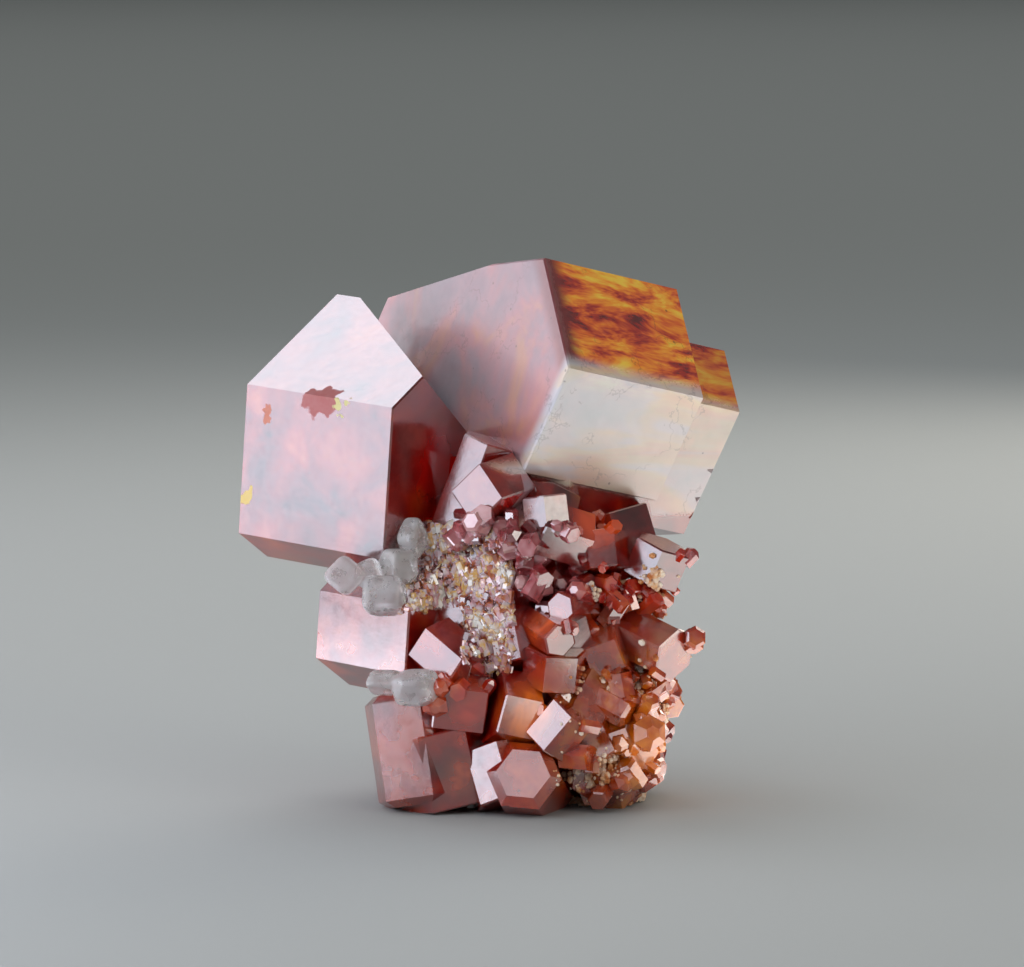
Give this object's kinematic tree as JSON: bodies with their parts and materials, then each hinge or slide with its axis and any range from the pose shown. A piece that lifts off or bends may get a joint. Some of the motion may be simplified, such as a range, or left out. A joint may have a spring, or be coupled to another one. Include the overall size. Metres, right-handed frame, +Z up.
{
  "type": "vanadinite cluster",
  "caption": "Upright cluster of intergrown six-sided vanadinite crystals with two large prisms on top, a crumbly crust and pale calcite, standing on a flat cut underside.",
  "frame": {"origin": "middle of the flat cut underside that the cluster stands on", "axes": "+Z up out of the underside, -Y towards the viewer of the picture, +X to that viewer's right"},
  "size_m": [0.022, 0.0207, 0.0238],
  "materials": {
    "vanadinite": "adamantine, glossy, translucent",
    "crust": "matt, crumbly",
    "calcite": "vitreous, translucent"
  },
  "bodies": {
    "root": {"vanadinite_crystals": "vanadinite", "crumbly_crust": "crust", "upper_calcite": "calcite", "lower_calcite": "calcite"}
  },
  "joints": []
}
